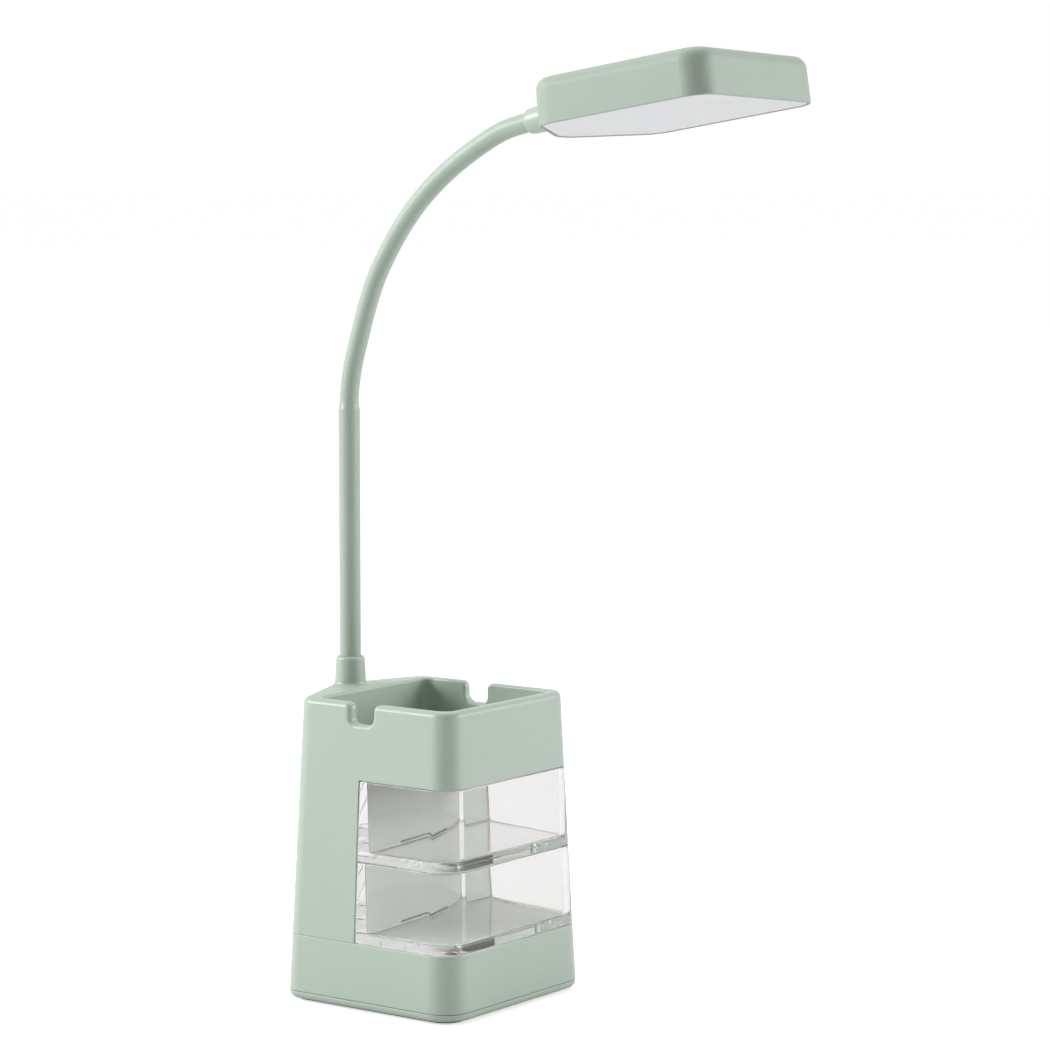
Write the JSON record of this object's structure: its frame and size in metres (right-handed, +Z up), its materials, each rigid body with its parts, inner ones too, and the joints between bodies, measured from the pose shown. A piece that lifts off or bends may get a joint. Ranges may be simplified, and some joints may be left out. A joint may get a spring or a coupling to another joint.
{
  "type": "desk lamp with drawer base",
  "caption": "Rechargeable desk lamp with a bendable gooseneck and flat LED head on a tapered base that holds a pen cup, phone notches and clear pull-out drawers.",
  "frame": {"origin": "on the surface the lamp stands on, under the middle of the base, in the middle of the anti-slip pad's underside", "axes": "+Z up along the stem, -Y towards the front, where the drawers pull out and the head reaches, +X to the right when looking along +Y"},
  "size_m": [0.0946, 0.2205, 0.3912],
  "materials": {
    "sage_plastic": "satin moulded, pale sage green",
    "sage_coated_metal": "satin coated, pale sage green",
    "clear_plastic": "polished, clear and colourless",
    "white_plastic": "moulded white",
    "steel": "zinc plated",
    "pad_rubber": "matt",
    "black_plastic": "moulded black",
    "cell_wrap": "shrink-wrap film",
    "circuit_board": "solder mask",
    "board_aluminium": "white solder mask on aluminium",
    "led_phosphor": "phosphor resin",
    "diffuser_white": "frosted, translucent white"
  },
  "bodies": {
    "base": {"upper_housing": "sage_plastic", "bay_liner": "sage_plastic", "liner_screws": "steel", "drawer_guide_upper": "white_plastic", "drawer_guide_lower": "white_plastic", "guide_screws": "steel", "base_shell": "sage_plastic", "housing_screws": "steel", "bottom_cover": "sage_plastic", "bottom_screws": "steel", "base_pad": "pad_rubber", "ballast_plate": "steel", "battery_cradle": "black_plastic", "battery_cell": "cell_wrap", "control_board": "circuit_board", "board_screws": "steel", "usb_socket": "steel", "tact_switch": "black_plastic", "base_lead": "white_plastic", "stem_tube": "sage_coated_metal", "stem_washer": "steel", "stem_nut": "steel"},
    "drawer_upper": {"drawer_upper": "clear_plastic"},
    "drawer_lower": {"drawer_lower": "clear_plastic"},
    "power_button": {"power_button": "sage_plastic"},
    "arm_link_01": {"arm_link_01": "sage_coated_metal"},
    "arm_link_02": {"arm_link_02": "sage_coated_metal"},
    "arm_link_03": {"arm_link_03": "sage_coated_metal"},
    "arm_link_04": {"arm_link_04": "sage_coated_metal"},
    "arm_link_05": {"arm_link_05": "sage_coated_metal"},
    "arm_link_06": {"arm_link_06": "sage_coated_metal"},
    "arm_link_07": {"arm_link_07": "sage_coated_metal"},
    "arm_link_08": {"arm_link_08": "sage_coated_metal"},
    "arm_link_09": {"arm_link_09": "sage_coated_metal"},
    "arm_link_10": {"arm_link_10": "sage_coated_metal"},
    "arm_link_11": {"arm_link_11": "sage_coated_metal"},
    "arm_link_12": {"arm_link_12": "sage_coated_metal"},
    "head": {"neck_ferrule": "steel", "head_collar": "sage_plastic", "neck_clamp_upper": "black_plastic", "neck_clamp_lower": "black_plastic", "clamp_screws": "steel", "head_shell": "sage_plastic", "reflector_frame": "white_plastic", "led_board": "board_aluminium", "led_chips": "led_phosphor", "led_screws": "steel", "diffuser": "diffuser_white", "head_lead": "white_plastic"}
  },
  "joints": [
    {"name": "drawer_upper_slide", "type": "slide", "parent": "base", "child": "drawer_upper", "axis": [0, -1, 0], "range_m": [0, 0.033]},
    {"name": "drawer_lower_slide", "type": "slide", "parent": "base", "child": "drawer_lower", "axis": [0, -1, 0], "range_m": [0, 0.033]},
    {"name": "power_button_press", "type": "slide", "parent": "base", "child": "power_button", "axis": [-0.3649, -0.9311, 0], "range_m": [0, 0.0006], "stiffness_N_per_m": 900},
    {"name": "arm_bend", "type": "hinge", "parent": "base", "child": "arm_link_01", "pos_m": [0, 0.038, 0.248], "axis": [1, 0, 0], "range_deg": [-11, 11]},
    {"name": "arm_side", "type": "hinge", "parent": "arm_link_01", "child": "arm_link_02", "pos_m": [0, 0.03616, 0.26112], "axis": [0, 0.9781, 0.2079], "range_deg": [-12, 12]},
    {"name": "arm_bend_2", "type": "hinge", "parent": "arm_link_02", "child": "arm_link_03", "pos_m": [0, 0.0325, 0.27386], "axis": [1, 0, 0], "range_deg": [-11, 11]},
    {"name": "arm_side_2", "type": "hinge", "parent": "arm_link_03", "child": "arm_link_04", "pos_m": [0, 0.02841, 0.28646], "axis": [0, 0.9397, 0.342], "range_deg": [-12, 12]},
    {"name": "arm_bend_3", "type": "hinge", "parent": "arm_link_04", "child": "arm_link_05", "pos_m": [0, 0.02345, 0.29874], "axis": [1, 0, 0], "range_deg": [-11, 11]},
    {"name": "arm_side_3", "type": "hinge", "parent": "arm_link_05", "child": "arm_link_06", "pos_m": [0, 0.01682, 0.31022], "axis": [0, 0.8434, 0.5373], "range_deg": [-12, 12]},
    {"name": "arm_bend_4", "type": "hinge", "parent": "arm_link_06", "child": "arm_link_07", "pos_m": [0, 0.00922, 0.32107], "axis": [1, 0, 0], "range_deg": [-11, 11]},
    {"name": "arm_side_4", "type": "hinge", "parent": "arm_link_07", "child": "arm_link_08", "pos_m": [0, 0.00053, 0.33107], "axis": [0, 0.7133, 0.7009], "range_deg": [-12, 12]},
    {"name": "arm_bend_5", "type": "hinge", "parent": "arm_link_08", "child": "arm_link_09", "pos_m": [0, -0.00932, 0.33994], "axis": [1, 0, 0], "range_deg": [-11, 11]},
    {"name": "arm_side_5", "type": "hinge", "parent": "arm_link_09", "child": "arm_link_10", "pos_m": [0, -0.02004, 0.34773], "axis": [0, 0.5519, 0.8339], "range_deg": [-12, 12]},
    {"name": "arm_bend_6", "type": "hinge", "parent": "arm_link_10", "child": "arm_link_11", "pos_m": [0, -0.0314, 0.35455], "axis": [1, 0, 0], "range_deg": [-11, 11]},
    {"name": "arm_side_6", "type": "hinge", "parent": "arm_link_11", "child": "arm_link_12", "pos_m": [0, -0.04331, 0.36036], "axis": [0, 0.3502, 0.9367], "range_deg": [-12, 12]},
    {"name": "arm_bend_7", "type": "hinge", "parent": "arm_link_12", "child": "head", "pos_m": [0, -0.0561, 0.36379], "axis": [1, 0, 0], "range_deg": [-11, 11]}
  ]
}
